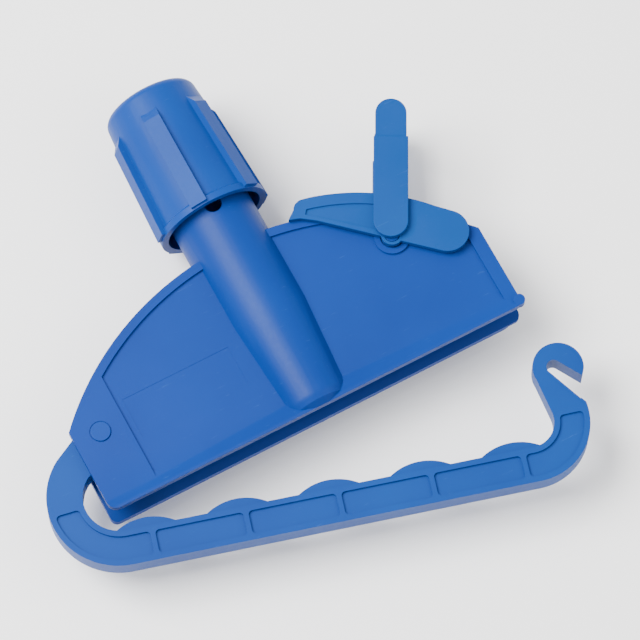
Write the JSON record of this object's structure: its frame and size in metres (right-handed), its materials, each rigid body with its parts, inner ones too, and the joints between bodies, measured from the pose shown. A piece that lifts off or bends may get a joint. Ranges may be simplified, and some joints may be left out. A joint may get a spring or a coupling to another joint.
{
  "type": "mop clamp",
  "caption": "Moulded plastic mop clamp with a domed hood, screw-collar pole socket, swing arm with hook, and lever latch that draws the arm closed.",
  "frame": {"origin": "middle of the hood's open mouth on the neck's axis", "axes": "+X along the hood towards the latch, +Y up the neck towards the pole, +Z out of the front face"},
  "size_m": [0.2123, 0.2138, 0.049],
  "materials": {
    "hood_plastic": "satin moulded polypropylene",
    "collar_plastic": "satin moulded polypropylene",
    "arm_plastic": "satin moulded polypropylene",
    "latch_plastic": "satin moulded polypropylene",
    "pin_plastic": "satin moulded polypropylene",
    "ring_plastic": "satin moulded polypropylene"
  },
  "bodies": {
    "hood": {"hood": "hood_plastic", "arm_pin": "pin_plastic", "lever_pin": "pin_plastic"},
    "arm": {"swing_arm": "arm_plastic"},
    "lever": {"latch_lever": "latch_plastic"},
    "link_pins": {"link_pin_front": "pin_plastic", "link_pin_rear": "pin_plastic"},
    "link": {"latch_link": "latch_plastic"},
    "ring": {"grip_ring": "ring_plastic"},
    "collar": {"collar": "collar_plastic"}
  },
  "joints": [
    {"name": "arm_swing", "type": "hinge", "parent": "hood", "child": "arm", "pos_m": [-0.0805, 0.031, 0], "axis": [0, 0, 1], "range_deg": [-55, 19.3]},
    {"name": "lever_swing", "type": "hinge", "parent": "hood", "child": "lever", "pos_m": [0.0567, 0.0489, 0], "axis": [0, 0, 1], "range_deg": [-60, 0]},
    {"name": "link_pin_turn", "type": "hinge", "parent": "lever", "child": "link_pins", "pos_m": [0.05938, 0.05493, 0], "axis": [0, 0, 1], "range_deg": [-4, 66]},
    {"name": "link_swing", "type": "hinge", "parent": "link_pins", "child": "link", "pos_m": [0.05938, 0.05493, 0], "axis": [0, 0, 1], "range_deg": [-92.6, 55]},
    {"name": "ring_travel", "type": "slide", "parent": "hood", "child": "ring", "axis": [0, 1, 0], "range_m": [-0.00201, 0.00601]},
    {"name": "collar_turn", "type": "hinge", "parent": "ring", "child": "collar", "pos_m": [0, 0.119, 0], "axis": [0, 1, 0], "range_deg": [-180, 540]}
  ],
  "couplings": [
    {"joint": "link_pin_turn", "follows": "lever_swing", "ratio": -1},
    {"joint": "ring_travel", "follows": "collar_turn", "m_per_rad": 0.00063662}
  ]
}
